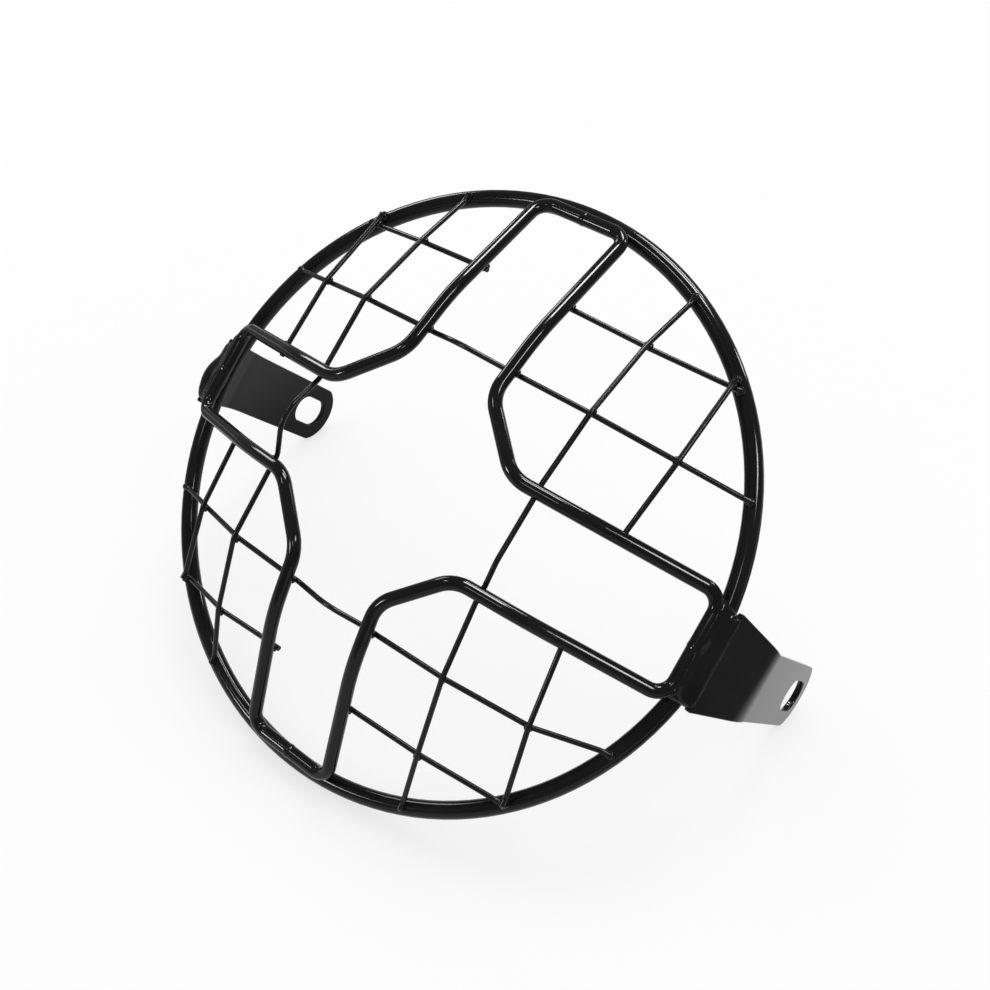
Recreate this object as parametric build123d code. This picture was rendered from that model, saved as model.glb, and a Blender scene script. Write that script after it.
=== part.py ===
from build123d import *
import os
from math import asin, atan2, cos, degrees, hypot, radians, sin, sqrt, tan

# Headlight grille: a domed round guard that stands in front of a motorcycle headlight.
# A steel ring carries a cross of four bent bars and a mesh of twelve thin wires, all welded,
# and two bent sheet brackets reach back from the ring to the lamp's side bolts.
# Sizes are millimetres and degrees. The grille is drawn in the ring's own frame, X across the face,
# Y up the face and Z out of the front, and is then leaned back so that it stands on a floor
# on three points: the low edge of the ring and the round tips of the two brackets.

# Round stock
RING_DIAMETER = 175.0  # to the middle of the ring's rod
RING_ROD = 5.0
BAR_ROD = 3.9
WIRE_ROD = 1.5

# Cross of bars
ARM_WIDTH = 29.2  # between the two bars of one arm
ARM_END_INSET = 2.3  # from the ring's middle line in to the bar across an arm's end
CORNER_GAP = 7.8  # from an inner wire in to the cross's inner corner
CROWN_HEIGHT = 29.0  # of the inner corners over the ring's plane
SHOULDER_HEIGHT = 23.5  # of the bend halfway between the wires
PATTERN_DROP = 1.3  # cross and mesh sit this much below the ring's centre
CORNER_BEND = 10.0
END_BEND = 5.0
SHOULDER_BEND = 60.0
BEND_SHARE = 0.45  # the most of a straight run that the bend at one end of it may take up

# Mesh of wires
CORNER_CROSSING_INSET = 1.5  # outer wires cross this far inside the ring's middle line
WIRE_PITCH = 22.6
INNER_CROSSING_HEIGHT = 22.4
OUTER_CROSSING_HEIGHT = 12.0
CROSSING_GAP = 0.16
BAR_SEAT = 2.5  # half the straight run under a bar
BAR_STUB = 1.0  # a short wire ends this far past the middle of its bar, and these three end further out
LONG_STUBS = {"upper_left_level_wire": 1.5, "lower_left_level_wire": 2.0, "upper_left_upright_wire": 2.5}
RING_SEAT = 2.0  # straight run over the ring, inwards of its middle line
RING_OVERHANG = 0.2
WIRE_BEND = 4.0
BOW_BEND = 12.0
# How far each long wire bows to the front between the two bars of its arm, and how far the top of
# the bow lies from the arm's middle
WIRE_BOWS = {"upper": (4.5, -2.0), "lower": (4.7, 1.5), "left": (7.2, -1.1), "right": (1.2, -5.5)}
# How far some wires stray from their lines, up the face or to the right: a long wire at its first end,
# at the bars and at its last end, and a short one at its bar and at the ring
LONG_STRAYS = {"lower": (0, 0, 3.6), "right": (-1.0, -1.7, 1.2)}
SHORT_STRAYS = {
    "lower_left_level_wire": (2.0, 0),
    "upper_right_level_wire": (0, 1.3),
    "upper_right_upright_wire": (-2.0, 0),
    "lower_right_upright_wire": (-1.9, 1.4),
}

# Brackets
SHEET = 2.0
TAB_STANDOFF = 9.8  # from the ring's outside to the inner face of the tab, at the slot
FLARE_ANGLE = 19.0
TAB_SPLAY = 2.9  # the unbolted tabs lean outwards a little
ROOT_LIP = 0.5  # the sheet's front edge stands this far past its line of contact on the ring
# Upper and lower end of each sheet's front edge, up the face from the ring's centre
ROOT_ENDS = {"left": (7.4, -15.0), "right": (11.6, -16.3)}
TAB_WIDTH = 20.4
TAB_DROP = 3.75  # the tab's middle is this much below the ring's centre
SHEET_BEND = 28.0
TAPER_RUNOUT = 1.0  # the taper runs on past the bend
SLOT_WIDTH = 10.0
SLOT_LENGTH = 17.5
SLOT_BACK = 66.1  # from the ring's plane to the middle of the slot
TIP_MARGIN = 4.9
END_FLATTENING = 0.6  # the tip's radius is more than half the tab by this
TAB_CORNER = 3.0
SHEET_EDGE = 0.4  # rounding of the sheet's cut edges

# Welds
WELD_GAP = 0.03  # between pieces that touch along a curve
JOINT_GAP = 1.6  # between the ends of two bars, which a weld fills
JOINT_CROWN = 0.15  # that weld stands this far proud of the bars
BEAD_CROWN = 0.4  # a bracket's weld bead stands this far proud of the corner of its sheet
BEAD_TOE = 1.6  # and runs this far down the sheet's outside
BEAD_INSET = 1.0  # and ends this far short of the ends of the sheet's front edge
SPOT_RADIUS = 1.2

ring_radius = RING_DIAMETER / 2
ring_r = RING_ROD / 2
bar_r = BAR_ROD / 2
wire_r = WIRE_ROD / 2
half_arm = ARM_WIDTH / 2
arm_end = ring_radius - ARM_END_INSET
outer_wire = (ring_radius - CORNER_CROSSING_INSET) / sqrt(2)
inner_wire = outer_wire - WIRE_PITCH
cross_reach = inner_wire - CORNER_GAP
shoulder = (inner_wire + outer_wire) / 2
# The bar across an arm's end touches the ring at the corner that reaches furthest out.
corner_reach = hypot(arm_end, half_arm + PATTERN_DROP)
end_height = sqrt((ring_r + bar_r + WELD_GAP) ** 2 - (ring_radius - corner_reach) ** 2)
ring_top = ring_r + wire_r + WELD_GAP
# Wires cross on the slope of the dome, so there they stand further apart in height than their thickness.
dome_slope = (INNER_CROSSING_HEIGHT - OUTER_CROSSING_HEIGHT) / WIRE_PITCH
wire_stack = (wire_r + CROSSING_GAP / 2) * hypot(1, dome_slope, dome_slope)
# An upright wire's end lies over the level wire's end beside it, both rising from the ring.
rim_slope = (OUTER_CROSSING_HEIGHT - ring_top) / WIRE_PITCH
upright_top = ring_top + (WIRE_ROD + WELD_GAP) * hypot(1, rim_slope, rim_slope)

tab_middle = ring_radius + ring_r + TAB_STANDOFF + SHEET / 2 / cos(radians(TAB_SPLAY))
tip_back = SLOT_BACK + SLOT_LENGTH / 2 + TIP_MARGIN
tip_radius = TAB_WIDTH / 2 + END_FLATTENING

SIDES = {"left": -1, "right": 1}
LEVELS = {"upper": 1, "lower": -1}


def bend_radii(points, wanted):
    """Wanted bend radii, each limited to what the two runs beside its corner have room for."""
    vectors = [Vector(*p) for p in points]
    runs = [b - a for a, b in zip(vectors, vectors[1:])]
    radii = []
    for before, after, radius in zip(runs, runs[1:], wanted):
        room = BEND_SHARE * min(before.length, after.length)
        half_turn = radians(before.get_angle(after)) / 2
        radii.append(min(radius, room / tan(half_turn)))
    return radii


def bent_rod(points, wanted, diameter):
    """Round rod bent along a route of straight runs and tangent arcs."""
    route = FilletPolyline(*points, radius=bend_radii(points, wanted))
    section = Plane(origin=route @ 0, z_dir=route % 0) * Circle(diameter / 2)
    return sweep(section, path=route)


def arm_line(shift):
    """Inner corner, shoulder and end of an arm's bars: distance from the ring's centre, and height."""
    return [(cross_reach + shift, CROWN_HEIGHT), (shoulder + shift, SHOULDER_HEIGHT), (arm_end, end_height)]


def seat_height(reach, shift):
    """Height of a wire that crosses an arm at this reach and touches the back of its bars."""
    inner, middle, outer = arm_line(shift)
    near, far = (inner, middle) if reach < middle[0] else (middle, outer)
    slope = (far[1] - near[1]) / (far[0] - near[0])
    bar_middle = near[1] + slope * (reach - near[0])
    return bar_middle - (bar_r + wire_r + WELD_GAP) * hypot(1, slope)


def quarter_bar(side, level):
    """One quarter of the cross: a bar from the weld in the middle of one arm's end to that of the next."""
    shift = -level * PATTERN_DROP
    upright = [(side * half_arm, level * reach, height) for reach, height in arm_line(shift)]
    sideways = [(side * reach, level * half_arm - PATTERN_DROP, height) for reach, height in arm_line(0)]
    start = (side * JOINT_GAP / 2, level * arm_end, end_height)
    finish = (side * arm_end, level * JOINT_GAP / 2 - PATTERN_DROP, end_height)
    points = [start, *reversed(upright), *sideways, finish]
    bends = [END_BEND, SHOULDER_BEND, CORNER_BEND, CORNER_BEND, SHOULDER_BEND, END_BEND]
    return bent_rod(points, bends, BAR_ROD)


def long_wire(offset, centre, shift, stack, side_name, place):
    """Wire right across the ring, behind both bars of one arm and bowed between them."""
    forward, aside = WIRE_BOWS[side_name]
    first, seated, last = LONG_STRAYS.get(side_name, (0, 0, 0))
    at_bars = offset + seated
    seat = seat_height(abs(at_bars), shift)

    def half(end, at_ring):
        ring_at = sqrt(ring_radius ** 2 - at_ring ** 2)
        return [
            (at_ring, end * (ring_at + RING_OVERHANG), ring_top),
            (at_ring, end * (ring_at - RING_SEAT), ring_top),
            (offset, end * outer_wire + centre, OUTER_CROSSING_HEIGHT + stack),
            (offset, end * inner_wire + centre, INNER_CROSSING_HEIGHT + stack),
            (at_bars, end * (half_arm + BAR_SEAT) + centre, seat),
            (at_bars, end * (half_arm - BAR_SEAT) + centre, seat),
        ]

    bow = (at_bars, centre + aside, seat + forward)
    before = half(-1, offset + first)
    after = half(1, offset + last)
    points = [place(*station) for station in [*before, bow, *reversed(after)]]
    bends = [WIRE_BEND] * (len(before) - 1)
    return bent_rod(points, [*bends, BOW_BEND, *bends], WIRE_ROD)


def short_wire(offset, end, centre, shift, stack, top, name, place):
    """Wire from the back of a bar out to the ring, on one side of an arm."""
    stub = LONG_STUBS.get(name, BAR_STUB)
    seated, last = SHORT_STRAYS.get(name, (0, 0))
    at_bar = offset + seated
    at_ring = offset + last
    ring_at = sqrt(ring_radius ** 2 - at_ring ** 2)
    seat = seat_height(abs(at_bar), shift)
    stations = [
        (at_bar, end * (half_arm - stub) + centre, seat),
        (at_bar, end * (half_arm + BAR_SEAT) + centre, seat),
        (offset, end * inner_wire + centre, OUTER_CROSSING_HEIGHT + stack),
        (at_ring, end * (ring_at - RING_SEAT), top),
        (at_ring, end * (ring_at + RING_OVERHANG), top),
    ]
    points = [place(*station) for station in stations]
    return bent_rod(points, [WIRE_BEND] * (len(points) - 2), WIRE_ROD)


def across(offset, along, height):
    """Point of a level wire."""
    return (along, offset, height)


def upwards(offset, along, height):
    """Point of an upright wire."""
    return (offset, along, height)


def level_wires():
    """Wires that run across the face, the inner pair long and the outer ones in two short lengths."""
    wires = {}
    for level_name, level in LEVELS.items():
        shift = -level * PATTERN_DROP
        inner = level * (inner_wire + shift)
        outer = level * (outer_wire + shift)
        wires[f"{level_name}_long_wire"] = long_wire(inner, 0, shift, -wire_stack, level_name, across)
        for side_name, side in SIDES.items():
            name = f"{level_name}_{side_name}_level_wire"
            wires[name] = short_wire(outer, side, 0, shift, -wire_stack, ring_top, name, across)
    return wires


def upright_wires():
    """Wires that run up the face, in front of the level ones where they cross."""
    wires = {}
    for side_name, side in SIDES.items():
        inner = side * inner_wire
        outer = side * outer_wire
        wires[f"{side_name}_long_wire"] = long_wire(inner, -PATTERN_DROP, 0, wire_stack, side_name, upwards)
        for level_name, level in LEVELS.items():
            name = f"{level_name}_{side_name}_upright_wire"
            wires[name] = short_wire(outer, level, -PATTERN_DROP, 0, wire_stack, upright_top, name, upwards)
    return wires


# Line of the bracket's sheet in the plane across the ring: it touches the ring's outside, flares out
# to the bend and then runs back, past the slot, to the tip.
flare = radians(FLARE_ANGLE)
splay = tan(radians(TAB_SPLAY))
touch_reach = ring_r + WELD_GAP + SHEET / 2
touch = (ring_radius + touch_reach * cos(flare), touch_reach * sin(flare))
root = (touch[0] - ROOT_LIP * sin(flare), touch[1] + ROOT_LIP * cos(flare))
widening = tab_middle - touch[0] - SLOT_BACK * splay - touch[1] * tan(flare)
bend_back = widening / (tan(flare) - splay)
bend = (tab_middle - (SLOT_BACK - bend_back) * splay, -bend_back)
tip = (tab_middle + (tip_back - SLOT_BACK) * splay, -tip_back)


def bracket(upper, lower):
    """Right-hand bracket: a tapered root, a bend and a straight tab with a slot and a round tip."""
    line = FilletPolyline(root, bend, tip, radius=SHEET_BEND)
    folded = extrude(Plane.XZ * trace(line, SHEET), amount=ring_radius, both=True)

    # The taper is drawn on past the sheet's front edge, and the sheet ends it.
    half_tab = TAB_WIDTH / 2
    tab_top = half_tab - TAB_DROP
    tab_foot = -half_tab - TAB_DROP
    half_turn = radians(FLARE_ANGLE - TAB_SPLAY) / 2
    taper_end = bend[1] - SHEET_BEND * tan(half_turn) - TAPER_RUNOUT
    front = root[1] + SHEET
    spread = (front - taper_end) / (root[1] - taper_end)
    front_top = tab_top + spread * (upper - tab_top)
    front_foot = tab_foot + spread * (lower - tab_foot)
    shoulder_z = -(tip_back - tip_radius + sqrt(tip_radius ** 2 - half_tab ** 2))
    sides = Polyline(
        (tab_foot, shoulder_z), (tab_foot, taper_end), (front_foot, front),
        (front_top, front), (tab_top, taper_end), (tab_top, shoulder_z))
    end = ThreePointArc((tab_top, shoulder_z), (-TAB_DROP, -tip_back), (tab_foot, shoulder_z))
    outline = make_face([*sides.edges(), end])
    corners = outline.vertices().filter_by(lambda v: abs(v.Y - shoulder_z) < WELD_GAP)
    outline = fillet(corners, TAB_CORNER)
    slot = Pos(-TAB_DROP, -SLOT_BACK) * SlotOverall(SLOT_LENGTH, SLOT_WIDTH, rotation=90)
    blank = extrude(Plane.YZ * (outline - slot), amount=tip[0] + SHEET)
    sheet = folded & blank
    return fillet(sheet.edges(), SHEET_EDGE)


def butt_welds():
    """Barrel-shaped welds between the bars' ends, in the middle of the four arms' ends."""
    half = JOINT_GAP / 2
    crown = ThreePointArc((-half, bar_r), (0, bar_r + JOINT_CROWN), (half, bar_r))
    core = Polyline((half, bar_r), (half, 0), (-half, 0), (-half, bar_r))
    along_x = revolve(Plane.XZ * make_face([crown, *core.edges()]), Axis.X)
    along_y = Rot(0, 0, 90) * along_x
    welds = [Pos(0, level * arm_end, end_height) * along_x for level in LEVELS.values()]
    welds += [Pos(side * arm_end, -PATTERN_DROP, end_height) * along_y for side in SIDES.values()]
    return Compound(children=welds)


def root_bead(ring, plate, upper, lower):
    """Weld bead from the ring's crown over the front edge of the right-hand bracket, round at both ends."""
    corner = Vector(root[0] + SHEET / 2 * cos(flare), root[1] + SHEET / 2 * sin(flare))
    crown = Vector(ring_radius, ring_r)
    toe = corner + Vector(sin(flare), -cos(flare)) * BEAD_TOE
    nose = corner + Vector(1, 1).normalized() * BEAD_CROWN
    skin = ThreePointArc(crown, nose, toe)
    core = Polyline(toe, root, (ring_radius, 0), crown)
    length = upper - lower - 2 * BEAD_INSET
    middle = Pos(0, (upper + lower) / 2)
    bead = middle * extrude(Plane.XZ * make_face([skin, *core.edges()]), amount=length / 2, both=True)
    width = 2 * (nose.X - crown.X)
    plan = middle * Pos(crown.X + width / 2) * SlotOverall(length, width, rotation=90)
    return (bead & extrude(plan, amount=RING_ROD, both=True)) - ring - plate


def wire_spots(ring, wires):
    """Weld spots that tie the ends of the wires down on the ring."""
    spots = []
    for one_wire in wires:
        for end in one_wire.faces().filter_by(GeomType.PLANE):
            if hypot(end.center().X, end.center().Y) > arm_end:
                middle = end.center() - end.normal_at() * RING_OVERHANG
                spot = Pos(middle.X, middle.Y, (middle.Z - wire_r + ring_r) / 2) * Sphere(SPOT_RADIUS)
                spots.append(spot - ring - one_wire)
    return Compound(children=spots)


ring = Torus(ring_radius, ring_r)
parts = {"outer_ring": ring}
for level_name, level in LEVELS.items():
    for side_name, side in SIDES.items():
        parts[f"{level_name}_{side_name}_bar"] = quarter_bar(side, level)
wires = {**level_wires(), **upright_wires()}
parts.update(wires)
for side_name, ends in ROOT_ENDS.items():
    plate = bracket(*ends)
    bead = root_bead(ring, plate, *ends)
    on_left = side_name == "left"
    parts[f"{side_name}_bracket"] = mirror(plate, about=Plane.YZ) if on_left else plate
    parts[f"{side_name}_bracket_weld"] = mirror(bead, about=Plane.YZ) if on_left else bead
parts["bar_joint_welds"] = butt_welds()
parts["wire_end_welds"] = wire_spots(ring, wires.values())

# Lean at which the ring's low edge and the brackets' tips stand on one floor.
tip_centre = (-TAB_DROP, -(tip_back - tip_radius))
up_arm = ring_radius + tip_centre[0]
lean = asin((tip_radius - ring_r) / hypot(up_arm, tip_centre[1])) + atan2(-tip_centre[1], up_arm)
floor_drop = ring_radius * sin(lean) + ring_r
standing = Pos(0, 0, floor_drop) * Rot(degrees(lean), 0, 0)
box = Compound(children=[standing * part for part in parts.values()]).bounding_box()
standing = Pos(-box.center().X, -box.center().Y, -box.min.Z) * standing

os.makedirs("parts", exist_ok=True)
for name, part in parts.items():
    export_step(standing * part, f"parts/{name}.step")
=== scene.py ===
import math
from functools import cache

import bmesh
import bpy
from mathutils import Matrix, Vector
from mathutils.bvhtree import BVHTree


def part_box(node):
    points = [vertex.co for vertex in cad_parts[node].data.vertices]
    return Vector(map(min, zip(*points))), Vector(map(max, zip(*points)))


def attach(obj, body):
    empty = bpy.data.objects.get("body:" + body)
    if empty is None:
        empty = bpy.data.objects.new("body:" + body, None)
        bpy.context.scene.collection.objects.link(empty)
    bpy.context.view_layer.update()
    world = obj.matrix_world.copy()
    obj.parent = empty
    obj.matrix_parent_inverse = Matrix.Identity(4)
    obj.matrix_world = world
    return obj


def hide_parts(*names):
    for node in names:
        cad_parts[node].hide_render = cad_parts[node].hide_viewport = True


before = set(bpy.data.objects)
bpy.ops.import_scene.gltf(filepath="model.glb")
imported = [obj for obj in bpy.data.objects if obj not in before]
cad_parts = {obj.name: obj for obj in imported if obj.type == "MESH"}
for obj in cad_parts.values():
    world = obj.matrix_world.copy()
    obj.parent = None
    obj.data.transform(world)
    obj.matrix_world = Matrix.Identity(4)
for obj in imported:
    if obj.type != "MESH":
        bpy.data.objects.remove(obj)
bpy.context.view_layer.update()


# Outer ring
# One length of 5 mm round steel rod, rolled to a hoop and butt welded shut, that carries all the rest.
# The grille is painted once it is welded, so every piece of it has the same black enamel.

MM = 0.001
FILM_SHADES = ("#0f0f0f", "#161617")
FILM_SPAN = (0.35, 0.65)  # the noise values at which the film has its two shades
FILM_IOR = 1.27  # enamel has about 1.5, but this one mirrors less
FILM_DRIFT = 18 * MM
GLOSS_DRIFT = 4 * MM


def linear(colour):
    """Linear colour with alpha from an sRGB hex value."""
    channels = [int(colour[i:i + 2], 16) / 255 for i in (1, 3, 5)]
    return [c / 12.92 if c <= 0.04045 else ((c + 0.055) / 1.055) ** 2.4 for c in channels] + [1]


def shown(sockets, name=None):
    """The socket in use on a node that has one for each kind of value."""
    return next(socket for socket in sockets if socket.enabled and name in (None, socket.name))


def add(tree, kind, settings=None, links=None):
    """New node in a tree, with its settings by attribute or input name and its links by input name."""
    node = tree.nodes.new(kind)
    for name, value in (settings or {}).items():
        if hasattr(node, name):
            setattr(node, name, value)
        else:
            shown(node.inputs, name).default_value = value
    for name, source in (links or {}).items():
        tree.links.new(source, shown(node.inputs, name))
    return node


def black_enamel(name, peel_size, peel_depth, gloss):
    """Stoved black enamel: an opaque near-black film with a wet gloss.

    Orange peel some millimetres across makes the long highlights waver. The film's colour drifts
    slightly over a few centimetres and its gloss over a few millimetres, as sprayed coats do.
    """
    material = bpy.data.materials.new(name)
    material.use_nodes = True
    tree = material.node_tree
    shader = tree.nodes["Principled BSDF"]
    shader.inputs["IOR"].default_value = FILM_IOR
    place = add(tree, "ShaderNodeTexCoord").outputs["Object"]
    coat = add(tree, "ShaderNodeTexNoise", {"Scale": 1 / FILM_DRIFT, "Detail": 3}, {"Vector": place})
    film = add(tree, "ShaderNodeValToRGB", links={"Fac": coat.outputs["Fac"]})
    for stop, position, shade in zip(film.color_ramp.elements, FILM_SPAN, FILM_SHADES):
        stop.position = position
        stop.color = linear(shade)
    tree.links.new(film.outputs["Color"], shader.inputs["Base Color"])
    grain = add(tree, "ShaderNodeTexNoise", {"Scale": 1 / GLOSS_DRIFT, "Detail": 2}, {"Vector": place})
    sheen = add(tree, "ShaderNodeMapRange", {"To Min": gloss[0], "To Max": gloss[1]},
                {"Value": grain.outputs["Fac"]})
    tree.links.new(sheen.outputs["Result"], shader.inputs["Roughness"])
    peel = add(tree, "ShaderNodeTexNoise", {"Scale": 1 / peel_size, "Detail": 1.5}, {"Vector": place})
    bump = add(tree, "ShaderNodeBump", {"Distance": peel_depth}, {"Height": peel.outputs["Fac"]})
    tree.links.new(bump.outputs["Normal"], shader.inputs["Normal"])
    return material


def dress(node, material):
    """Gives a piece that comes from the frame its finish."""
    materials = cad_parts[node].data.materials
    materials.clear()
    materials.append(material)


rod_enamel = black_enamel("black_enamel_on_rod",
                          peel_size=3.0 * MM, peel_depth=0.003 * MM, gloss=(0.07, 0.12))
dress("outer_ring", rod_enamel)


# Cross of bars
# Four lengths of 3.9 mm rod, each bent on a jig to one quarter of the cross, with its ends butt welded
# to its neighbours' in the middle of the four arms' ends. Same paint as the ring.

quarters = [f"{level}_{side}" for level in ("upper", "lower") for side in ("left", "right")]
bars = [f"{quarter}_bar" for quarter in quarters]
for bar in bars:
    dress(bar, rod_enamel)
dress("bar_joint_welds", rod_enamel)


# Mesh of wires
# Twelve lengths of 1.5 mm wire: four long ones right across the ring, and eight short ones from a bar
# out to the ring. The paint draws thin and even round them, so its peel is finer and its gloss softer.

wire_enamel = black_enamel("black_enamel_on_wire",
                           peel_size=2.5 * MM, peel_depth=0.0015 * MM, gloss=(0.20, 0.28))
level_wires = ["upper_long_wire", "lower_long_wire"] + [f"{quarter}_level_wire" for quarter in quarters]
upright_wires = ["left_long_wire", "right_long_wire"] + [f"{quarter}_upright_wire" for quarter in quarters]
wires = level_wires + upright_wires
for wire in wires:
    dress(wire, wire_enamel)


# Side brackets
# Two 2 mm steel sheets, cut with a slot and a round tip, folded once and welded to the ring's outside.
# Their flat faces show the paint's peel broader and deeper than the rods do.

sheet_enamel = black_enamel("black_enamel_on_sheet",
                            peel_size=3.5 * MM, peel_depth=0.006 * MM, gloss=(0.08, 0.15))
for side in ("left", "right"):
    dress(f"{side}_bracket", sheet_enamel)


# Wire tacks
# The wires are resistance-welded to each other where they cross, and to the bars' backs. Each tack is a
# web of squeezed-out metal in the corners of the crossing, which the paint then runs over.

SAMPLE_STEP = 0.5  # this and the other sizes of the welds are in millimetres
TACK_REACH = 0.8  # the widest gap that a tack bridges
CROSSING_SIZE = 4.0  # gaps that lie this close together belong to one crossing
WEB_REACH = 2.2  # how far out from the crossing's middle a web runs
WEB_STEP = 0.5  # between the points of each piece that a web is drawn from
PELLET_STEP = 0.35  # between the pellets of a web
TACK_PELLET = 0.3
TACK_VOXEL = 0.13
TACK_DROPS = (0.54, 0.64)  # the least and largest radius of the drops
TACK_LUMP = 2.0
TACK_EASING = 30  # rounds of smoothing
MERGE_DISTANCE = 0.001
FILL_DEPTH = 3.0  # how far under its surface a core is filled
DROP_SPACING = 2  # in voxels
LUMP_SPAN = (0.3, 0.7)  # the noise values at which the drops have those two sizes
SKIN_LEVEL = 0.2  # the share of the drops' density at which the metal's skin lies
WELD_SEED = 7


def weld_metal_tree():
    """Node tree that turns a rough core into weld metal: drops all through it, run together."""
    tree = bpy.data.node_groups.new("weld_metal", "GeometryNodeTree")
    sockets = tree.interface
    sockets.new_socket("Core", in_out="INPUT", socket_type="NodeSocketGeometry")
    for name in ("Voxel", "Drop spacing", "Least drop", "Largest drop", "Lump density"):
        sockets.new_socket(name, in_out="INPUT", socket_type="NodeSocketFloat")
    for name in ("Easing", "Seed"):
        sockets.new_socket(name, in_out="INPUT", socket_type="NodeSocketInt")
    sockets.new_socket("Enamel", in_out="INPUT", socket_type="NodeSocketMaterial")
    sockets.new_socket("Weld", in_out="OUTPUT", socket_type="NodeSocketGeometry")
    given = add(tree, "NodeGroupInput").outputs
    voxel = given["Voxel"]
    whole = add(tree, "GeometryNodeMergeByDistance", {"Distance": MERGE_DISTANCE},
                {"Geometry": given["Core"]})
    filled = add(tree, "GeometryNodeMeshToVolume",
                 {"resolution_mode": "VOXEL_SIZE", "Interior Band Width": FILL_DEPTH},
                 {"Mesh": whole.outputs["Geometry"], "Voxel Size": voxel})
    drops = add(tree, "GeometryNodeDistributePointsInVolume", {"mode": "DENSITY_GRID"},
                {"Volume": filled.outputs["Volume"], "Spacing": given["Drop spacing"]})
    place = add(tree, "GeometryNodeInputPosition").outputs["Position"]
    lumps = add(tree, "ShaderNodeTexNoise", {"noise_dimensions": "4D", "Detail": 1.0},
                {"Vector": place, "W": given["Seed"], "Scale": given["Lump density"]})
    drop_size = add(tree, "ShaderNodeMapRange", {"From Min": LUMP_SPAN[0], "From Max": LUMP_SPAN[1]},
                    {"Value": lumps.outputs["Fac"],
                     "To Min": given["Least drop"], "To Max": given["Largest drop"]})
    pool = add(tree, "GeometryNodePointsToVolume", {"resolution_mode": "VOXEL_SIZE"},
               {"Points": drops.outputs["Points"], "Voxel Size": voxel,
                "Radius": drop_size.outputs["Result"]})
    skin = add(tree, "GeometryNodeVolumeToMesh",
               {"resolution_mode": "VOXEL_SIZE", "Threshold": SKIN_LEVEL},
               {"Volume": pool.outputs["Volume"], "Voxel Size": voxel})
    eased = add(tree, "GeometryNodeBlurAttribute", {"data_type": "FLOAT_VECTOR"},
                {"Value": place, "Iterations": given["Easing"]})
    flowed = add(tree, "GeometryNodeSetPosition",
                 links={"Geometry": skin.outputs["Mesh"], "Position": shown(eased.outputs)})
    metres = add(tree, "GeometryNodeTransform", {"Scale": (MM, MM, MM)},
                 {"Geometry": flowed.outputs["Geometry"]})
    smooth = add(tree, "GeometryNodeSetShadeSmooth", links={"Geometry": metres.outputs["Geometry"]})
    real = add(tree, "GeometryNodeRealizeInstances", links={"Geometry": smooth.outputs["Geometry"]})
    painted = add(tree, "GeometryNodeSetMaterial",
                  links={"Geometry": real.outputs["Geometry"], "Material": given["Enamel"]})
    add(tree, "NodeGroupOutput", links={"Weld": painted.outputs["Geometry"]})
    return tree


weld_metal = weld_metal_tree()
weld_enamel = black_enamel("black_enamel_on_weld",
                           peel_size=1.4 * MM, peel_depth=0.012 * MM, gloss=(0.09, 0.18))


def weld(name, core, voxel, drops, lump, easing, node=None):
    """Piece of weld metal grown from a core in millimetres, which stands for a node where one is given."""
    grower = bpy.data.objects.new(f"{name}_core", core)
    bpy.context.scene.collection.objects.link(grower)
    modifier = grower.modifiers.new("weld_metal", "NODES")
    modifier.node_group = weld_metal
    values = {"Voxel": voxel, "Drop spacing": DROP_SPACING * voxel,
              "Least drop": drops[0], "Largest drop": drops[1], "Lump density": 1 / lump,
              "Easing": easing, "Seed": WELD_SEED, "Enamel": weld_enamel}
    for item in weld_metal.interface.items_tree:
        if item.in_out == "INPUT" and item.name in values:
            modifier[item.identifier] = values[item.name]
    evaluated = grower.evaluated_get(bpy.context.evaluated_depsgraph_get())
    mesh = bpy.data.meshes.new_from_object(evaluated)
    mesh.name = name
    piece = bpy.data.objects.new(name, mesh)
    bpy.context.scene.collection.objects.link(piece)
    bpy.data.objects.remove(grower)
    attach(piece, "root")
    if node:
        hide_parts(node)


def weld_core(name, places, pellet, node=None):
    """Rough core in millimetres: a pellet at each place, and a copy of a node where one is given."""
    mesh = bpy.data.meshes.new(name)
    builder = bmesh.new()
    if node:
        builder.from_mesh(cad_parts[node].data)
        bmesh.ops.scale(builder, vec=(1 / MM, 1 / MM, 1 / MM), verts=builder.verts)
    for place in places:
        seat = Matrix.Translation(place / MM)
        bmesh.ops.create_icosphere(builder, subdivisions=1, radius=pellet, matrix=seat)
    builder.to_mesh(mesh)
    builder.free()
    return mesh


@cache
def edge_points(node):
    """Points along every edge of a node's triangles, no further apart than the sample step."""
    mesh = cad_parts[node].data
    points = []
    for edge in mesh.edges:
        start, finish = (mesh.vertices[i].co for i in edge.vertices)
        count = max(1, math.ceil((finish - start).length / (SAMPLE_STEP * MM)))
        points.extend(start.lerp(finish, i / count) for i in range(count))
    return points


@cache
def surface_of(node):
    """Search tree over a node's triangles."""
    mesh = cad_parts[node].data
    return BVHTree.FromPolygons([v.co for v in mesh.vertices], [p.vertices for p in mesh.polygons])


def gap_middles(piece, node, reach):
    """Points halfway from a piece's edges to a node's surface, wherever the gap is within a reach."""
    middles = []
    for point in edge_points(piece):
        nearest = surface_of(node).find_nearest(point, reach * MM)[0]
        if nearest is not None:
            middles.append((point + nearest) / 2)
    return middles


def gathered(points, apart):
    """Middles of the groups that points fall into, each within a distance of its group's first."""
    groups = []
    for point in points:
        near = [group for group in groups if (group[0] - point).length < apart * MM]
        if near:
            near[0].append(point)
        else:
            groups.append([point])
    return [sum(group, Vector()) / len(group) for group in groups]


def facing_points(piece, node, place):
    """Points of a piece near a place, on the side that faces a node."""
    surface = surface_of(node)
    near = [point for point in edge_points(piece) if (point - place).length < WEB_REACH * MM]
    return [point for point in near if surface.find_nearest(point, TACK_REACH * MM)[0] is not None]


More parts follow.
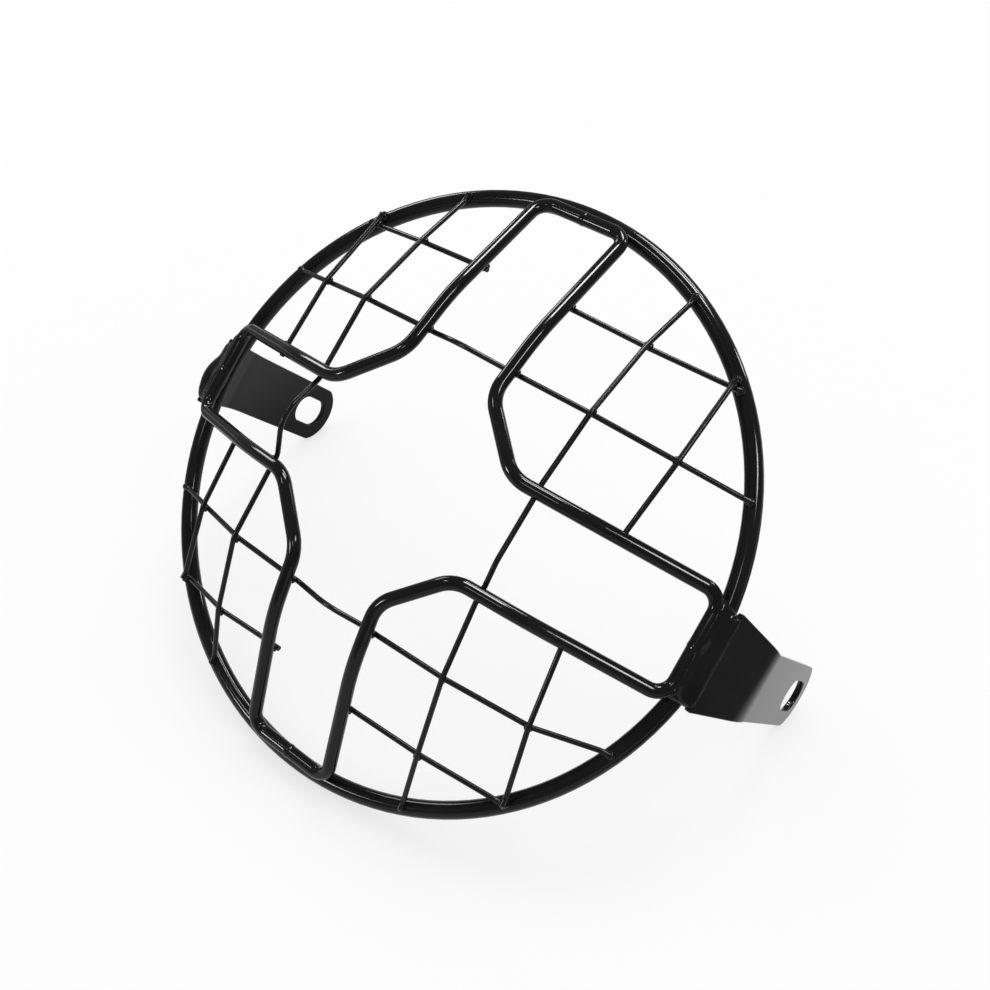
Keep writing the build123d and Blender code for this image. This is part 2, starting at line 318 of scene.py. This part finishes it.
def web_middles(wire, other, place):
    """Points between a wire and another piece, all over the corners that they make where they cross."""
    near = gathered(facing_points(wire, other, place), WEB_STEP)
    far = gathered(facing_points(other, wire, place), WEB_STEP)
    return gathered([(p + q) / 2 for p in near for q in far], PELLET_STEP)


webs = []
for wire in wires:
    for other in bars + (level_wires if wire in upright_wires else []):
        for place in gathered(gap_middles(wire, other, TACK_REACH), CROSSING_SIZE):
            webs.extend(web_middles(wire, other, place))
core = weld_core("wire_tack_cores", webs, TACK_PELLET)
weld("wire_tacks", core, TACK_VOXEL, TACK_DROPS, TACK_LUMP, TACK_EASING)


# Corner tacks
# The bars' bent corners lie on the ring and are resistance-welded to it.
# Each of these tacks is one rounder pinch of metal between the two rods.

CORNER_PELLET = 0.9
CORNER_VOXEL = 0.2
CORNER_DROPS = (0.5, 0.8)
CORNER_LUMP = 1.4
CORNER_EASING = 10
corners = []
for bar in bars:
    corners.extend(gathered(gap_middles(bar, "outer_ring", TACK_REACH), CROSSING_SIZE))
core = weld_core("bar_corner_cores", corners, CORNER_PELLET)
weld("bar_corner_tacks", core, CORNER_VOXEL, CORNER_DROPS, CORNER_LUMP, CORNER_EASING)


# Wire ends
# Each wire is hand-welded down where it ends on the ring. The metal runs along the wire in small lumps,
# which stay sharp under the paint.

END_REACH = 1.2
END_STEP = 0.7
END_PELLET = 0.3
END_DROPS = (0.16, 0.36)
END_LUMP = 0.6
END_EASING = 3
runs = []
for wire in wires:
    runs.extend(gathered(gap_middles(wire, "outer_ring", END_REACH), END_STEP))
core = weld_core("wire_end_cores", runs, END_PELLET, "wire_end_welds")
weld("wire_end_beads", core, TACK_VOXEL, END_DROPS, END_LUMP, END_EASING, "wire_end_welds")


# Bracket beads
# Arc weld fills the groove from the ring over each sheet's front edge, and the corner where the bars' ends
# lie on the ring there. It was dressed smooth before painting, so it shows as one soft blend.

BEAD_REACH = 6.0
BEAD_SHARES = (0.0, 0.25, 0.5, 0.75, 1.0)  # places of the fill on its way from a bar to the sheet
BEAD_STEP = 0.9
BEAD_PELLET = 0.8
BEAD_VOXEL = 0.35
BEAD_DROPS = (0.6, 0.8)
BEAD_LUMP = 4.0
BEAD_EASING = 50
LEFT_SWELL = 1.6  # the left bead swells outwards by this much, over this stretch of its height
SWELL_STRETCH = (0.2, 0.68)
for side in ("left", "right"):
    node = f"{side}_bracket_weld"
    sheet = surface_of(f"{side}_bracket")
    fill = []
    for level in ("upper", "lower"):
        for point in edge_points(f"{level}_{side}_bar"):
            edge = sheet.find_nearest(point, BEAD_REACH * MM)[0]
            if edge is not None:
                fill.extend(point.lerp(edge, share) for share in BEAD_SHARES)
    if side == "left":
        low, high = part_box(node)
        start, finish = (low[2] + share * (high[2] - low[2]) for share in SWELL_STRETCH)
        for point in edge_points(node):
            share = (point.z - start) / (finish - start)
            if 0 < share < 1:
                fill.append(point - Vector((LEFT_SWELL * MM * math.sin(math.pi * share), 0, 0)))
    core = weld_core(f"{side}_bead_core", gathered(fill, BEAD_STEP), BEAD_PELLET, node)
    weld(f"{side}_bracket_bead", core, BEAD_VOXEL, BEAD_DROPS, BEAD_LUMP, BEAD_EASING, node)


# Floor
# A broad sheet of white paper, lit through from below so that it stays white in the picture and still
# takes the grille's shadow.

FLOOR_SIZE = 4.0
FLOOR_DROP = 0.0002  # just under the grille
PAPER_GLOW = 0.67
PAPER_ROUGHNESS = 0.9


def sheet_of(name, low, high, height, material):
    """Level rectangle of the stage, between two corners."""
    mesh = bpy.data.meshes.new(name)
    (x0, y0), (x1, y1) = low, high
    points = [(x, y, height) for x, y in ((x0, y0), (x1, y0), (x1, y1), (x0, y1))]
    mesh.from_pydata(points, [], [(0, 1, 2, 3)])
    mesh.materials.append(material)
    sheet = bpy.data.objects.new(name, mesh)
    bpy.context.scene.collection.objects.link(sheet)
    return sheet


paper = bpy.data.materials.new("white_paper")
paper.use_nodes = True
paper_shader = paper.node_tree.nodes["Principled BSDF"]
paper_shader.inputs["Base Color"].default_value = linear("#959595")
paper_shader.inputs["Roughness"].default_value = PAPER_ROUGHNESS
paper_shader.inputs["Specular IOR Level"].default_value = 0.0
paper_shader.inputs["Emission Color"].default_value = linear("#ffffff")
paper_shader.inputs["Emission Strength"].default_value = PAPER_GLOW
half = FLOOR_SIZE / 2
sheet_of("floor", (-half, -half), (half, half), -FLOOR_DROP, paper)


# Dark cards
# Three black cards that lie on the paper and show only in the paint: the brackets' faces and the left
# bars mirror them. One edge of each fades out, so that its reflection has no line.

def card(name, low, high, fade, cover):
    """Dark card between two corners, whose cover grows along X over a stretch."""
    ink = bpy.data.materials.new(name)
    ink.use_nodes = True
    tree = ink.node_tree
    shader = tree.nodes["Principled BSDF"]
    shader.inputs["Base Color"].default_value = linear("#101010")
    shader.inputs["Specular IOR Level"].default_value = 0.0
    place = add(tree, "ShaderNodeTexCoord").outputs["Object"]
    across = add(tree, "ShaderNodeSeparateXYZ", links={"Vector": place}).outputs["X"]
    growth = add(tree, "ShaderNodeMapRange", {"From Min": fade[0], "From Max": fade[1], "To Max": cover},
                 {"Value": across})
    tree.links.new(growth.outputs["Result"], shader.inputs["Alpha"])
    sheet = sheet_of(name, low, high, -FLOOR_DROP / 2, ink)
    sheet.visible_camera = False
    sheet.visible_diffuse = False
    sheet.visible_shadow = False


card("right_card", low=(0.12, -0.10), high=(0.40, 0.25), fade=(0.120, 0.150), cover=0.83)
card("left_card", low=(-0.14, 0.02), high=(-0.06, 0.10), fade=(-0.06, -0.085), cover=0.62)
card("far_left_card", low=(-0.60, -0.30), high=(-0.14, 0.30), fade=(-0.14, -0.18), cover=0.75)


# Lamps
# A key and a fill light the paper and the paint's own colour, and make no highlights. Small panels make
# the highlights alone, each where a streak on the rods points.

LAMP_TARGET = Vector((0, 0, 0.06))
LAMP_DISTANCE = 1.0
SUNS = {  # azimuth, elevation and spread in degrees, then strength
    "key": (-168, 66, 24, 0.75),
    "fill": (0, 90, 140, 1.71),
}
PANELS = {  # azimuth and elevation in degrees, width and height in metres, then radiance
    "high_back": (-170, 72, 0.30, 0.16, 45),
    "low_back": (-173, 51, 0.36, 0.12, 36),
    "right": (93, 53, 0.30, 0.12, 34),
    "left": (-109, 28, 0.40, 0.16, 13),
    "high_front_left": (-42, 52, 0.12, 0.06, 40),
    "low_front_left": (-28, 20, 0.14, 0.16, 36),
    "front": (15, 48, 0.14, 0.14, 10),
    "low_back_right": (156, 26, 0.10, 0.12, 30),
}
WATTS_PER_RADIANCE = 4  # for each square metre of a panel
WORLD_LEVEL = 0.3


def heading(azimuth, elevation):
    """Unit vector towards an azimuth, from the front round to the right, and an elevation, in degrees."""
    turn = math.radians(azimuth)
    rise = math.radians(elevation)
    return Vector((math.sin(turn) * math.cos(rise), -math.cos(turn) * math.cos(rise), math.sin(rise)))


def lamp(name, kind, azimuth, elevation):
    """Lamp that faces the object from a direction."""
    light = bpy.data.objects.new(name, bpy.data.lights.new(name, kind))
    away = heading(azimuth, elevation)
    light.location = LAMP_TARGET + away * LAMP_DISTANCE
    light.rotation_euler = (-away).to_track_quat("-Z", "Y").to_euler()
    bpy.context.scene.collection.objects.link(light)
    return light


for name, (azimuth, elevation, spread, strength) in SUNS.items():
    sun = lamp(name, "SUN", azimuth, elevation)
    sun.data.angle = math.radians(spread)
    sun.data.energy = strength
    sun.visible_glossy = False
for name, (azimuth, elevation, width, height, radiance) in PANELS.items():
    panel = lamp(f"{name}_panel", "AREA", azimuth, elevation)
    panel.data.shape = "RECTANGLE"
    panel.data.size = width
    panel.data.size_y = height
    panel.data.energy = WATTS_PER_RADIANCE * width * height * radiance
    panel.visible_diffuse = False
world = bpy.data.worlds.new("studio")
bpy.context.scene.world = world
world.use_nodes = True
surround = world.node_tree.nodes["Background"]
surround.inputs["Color"].default_value = linear("#ffffff")
surround.inputs["Strength"].default_value = WORLD_LEVEL


# Camera
# It stands where the photograph was taken from, with that picture's tilt and angle of view.
# Its place is in metres, its turns in degrees, its sensor and lens in millimetres.

CAMERA_PLACE = Vector((0.14772, -0.18166, 0.27747))
CAMERA_AZIMUTH = 35.367
CAMERA_ELEVATION = 42.513
CAMERA_ROLL = 4.427
SENSOR = 36
LENS = 40.713
NEAR_CLIP = 0.01
back = heading(CAMERA_AZIMUTH, CAMERA_ELEVATION)
level_right = Vector((0, 0, 1)).cross(back).normalized()
upright = Matrix((level_right, back.cross(level_right), back)).transposed()
camera = bpy.data.objects.new("camera", bpy.data.cameras.new("camera"))
camera.matrix_world = (upright @ Matrix.Rotation(math.radians(CAMERA_ROLL), 3, "Z")).to_4x4()
camera.location = CAMERA_PLACE
camera.data.sensor_width = SENSOR
camera.data.lens = LENS
camera.data.clip_start = NEAR_CLIP
bpy.context.scene.collection.objects.link(camera)
bpy.context.scene.camera = camera
bpy.context.scene.view_settings.view_transform = "Standard"
